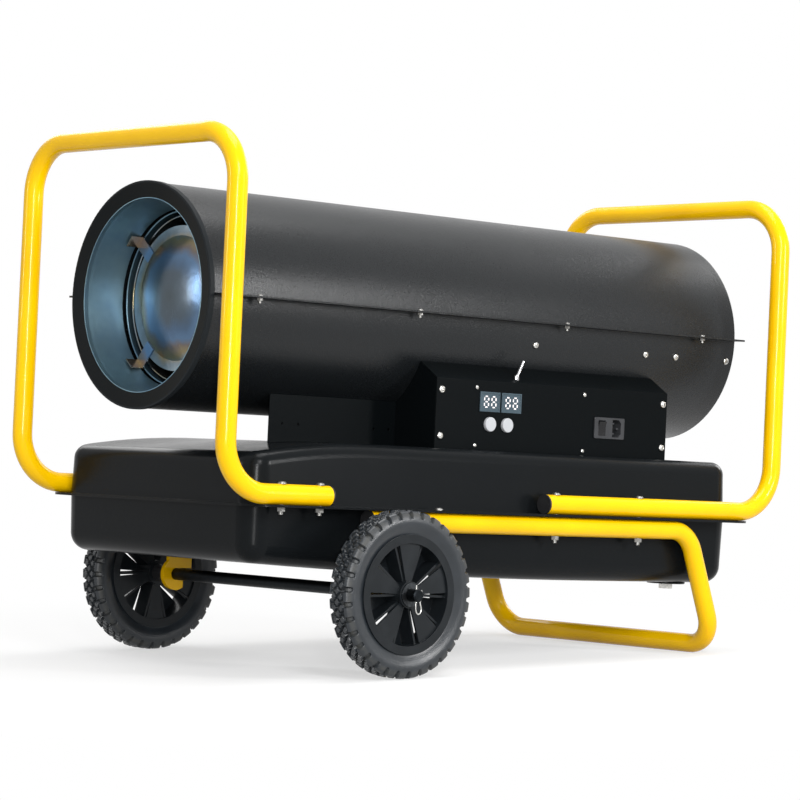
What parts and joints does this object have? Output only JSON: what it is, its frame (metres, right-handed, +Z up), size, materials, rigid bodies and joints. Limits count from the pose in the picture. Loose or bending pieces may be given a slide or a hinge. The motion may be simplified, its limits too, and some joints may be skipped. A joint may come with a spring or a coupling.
{
  "type": "diesel forced air heater",
  "caption": "Horizontal drum space heater on a pressed fuel tank, with a side control box, tube handles at both ends, two wheels and a bent leg.",
  "frame": {"origin": "on the floor under the middle of the overall box, with the wheels and the leg on the floor", "axes": "+Z up; +X towards the air intake, so the hot air leaves towards -X; +Y away from the control panel"},
  "size_m": [1.0313, 0.592, 0.6912],
  "materials": {
    "barrel_paint": "fine textured black powder coat",
    "tank_paint": "fine textured black powder coat",
    "frame_paint": "glossy yellow enamel",
    "bright_steel": "bright sheet steel",
    "heat_steel": "heat tinted stainless sheet",
    "zinc_steel": "zinc plated",
    "dark_steel": "blackened steel",
    "tyre_rubber": "moulded rubber",
    "rim_plastic": "moulded",
    "black_plastic": "moulded",
    "button_plastic": "moulded",
    "display_plastic": "dark window",
    "digit_glow": "lit segments",
    "board_green": "laminate",
    "brass": "machined",
    "ceramic": "glazed",
    "fan_metal": "pressed",
    "motor_metal": "cast",
    "copper_pipe": "drawn copper"
  },
  "bodies": {
    "chassis": {"upper_shell": "barrel_paint", "lower_shell": "barrel_paint", "nose_ring": "barrel_paint", "outlet_cone": "bright_steel", "air_guide": "bright_steel", "combustion_chamber": "heat_steel", "diffuser_disc": "heat_steel", "diffuser_tabs": "heat_steel", "chamber_supports": "bright_steel", "burner_head": "bright_steel", "nozzle": "brass", "ignition_electrodes": "ceramic", "flame_sensor": "black_plastic", "motor_body": "motor_metal", "motor_bracket": "zinc_steel", "fuel_pump": "motor_metal", "rear_guard": "barrel_paint", "shell_screws": "zinc_steel", "seam_screws": "zinc_steel", "seam_nuts": "zinc_steel", "tank_upper": "tank_paint", "tank_lower": "tank_paint", "filler_neck": "zinc_steel", "drain_plate": "zinc_steel", "drain_plug": "dark_steel", "fuel_pickup": "copper_pipe", "fuel_pipes": "copper_pipe", "pedestal": "barrel_paint", "control_box": "barrel_paint", "control_cover": "barrel_paint", "cover_screws": "zinc_steel", "circuit_board": "board_green", "board_screws": "zinc_steel", "displays": "display_plastic", "display_digits": "digit_glow", "power_inlet": "black_plastic", "ignition_transformer": "black_plastic", "thermostat_probe": "zinc_steel", "front_handle": "frame_paint", "rear_handle": "frame_paint", "leg_frame": "frame_paint", "tube_plugs": "black_plastic", "frame_bolts": "zinc_steel", "frame_nuts": "zinc_steel", "axle": "dark_steel", "axle_spacers": "dark_steel", "axle_washers": "dark_steel", "hairpin_clip_near": "zinc_steel", "hairpin_clip_far": "zinc_steel"},
    "wheel_near": {"wheel_rim_near": "rim_plastic", "tyre_near": "tyre_rubber"},
    "wheel_far": {"wheel_rim_far": "rim_plastic", "tyre_far": "tyre_rubber"},
    "rotor": {"motor_shaft": "zinc_steel", "fan": "fan_metal"},
    "rocker": {"rocker_switch": "black_plastic"},
    "button_a": {"button_left": "button_plastic"},
    "button_b": {"button_right": "button_plastic"},
    "cap": {"fuel_cap": "black_plastic"}
  },
  "joints": [
    {"name": "wheel_near_spin", "type": "hinge", "parent": "chassis", "child": "wheel_near", "pos_m": [-0.25384, -0.2608, 0.106], "axis": [0, 1, 0], "continuous": true},
    {"name": "wheel_far_spin", "type": "hinge", "parent": "chassis", "child": "wheel_far", "pos_m": [-0.25384, 0.2608, 0.106], "axis": [0, 1, 0], "continuous": true},
    {"name": "rotor_spin", "type": "hinge", "parent": "chassis", "child": "rotor", "pos_m": [0.42975, 0, 0.44438], "axis": [0.9993, 0, -0.0378], "continuous": true},
    {"name": "rocker_tip", "type": "hinge", "parent": "chassis", "child": "rocker", "pos_m": [0.19461, -0.1625, 0.31568], "axis": [0.9993, 0, -0.0378], "range_deg": [-16, 0]},
    {"name": "button_left_press", "type": "slide", "parent": "chassis", "child": "button_a", "axis": [0, 1, 0], "range_m": [0, 0.002], "stiffness_N_per_m": 400, "springref_m": -0.001},
    {"name": "button_right_press", "type": "slide", "parent": "chassis", "child": "button_b", "axis": [0, 1, 0], "range_m": [0, 0.002], "stiffness_N_per_m": 400, "springref_m": -0.001},
    {"name": "cap_turn", "type": "hinge", "parent": "chassis", "child": "cap", "pos_m": [0.14914, 0.145, 0.29088], "axis": [0.0378, 0, 0.9993], "range_deg": [0, 90]}
  ]
}
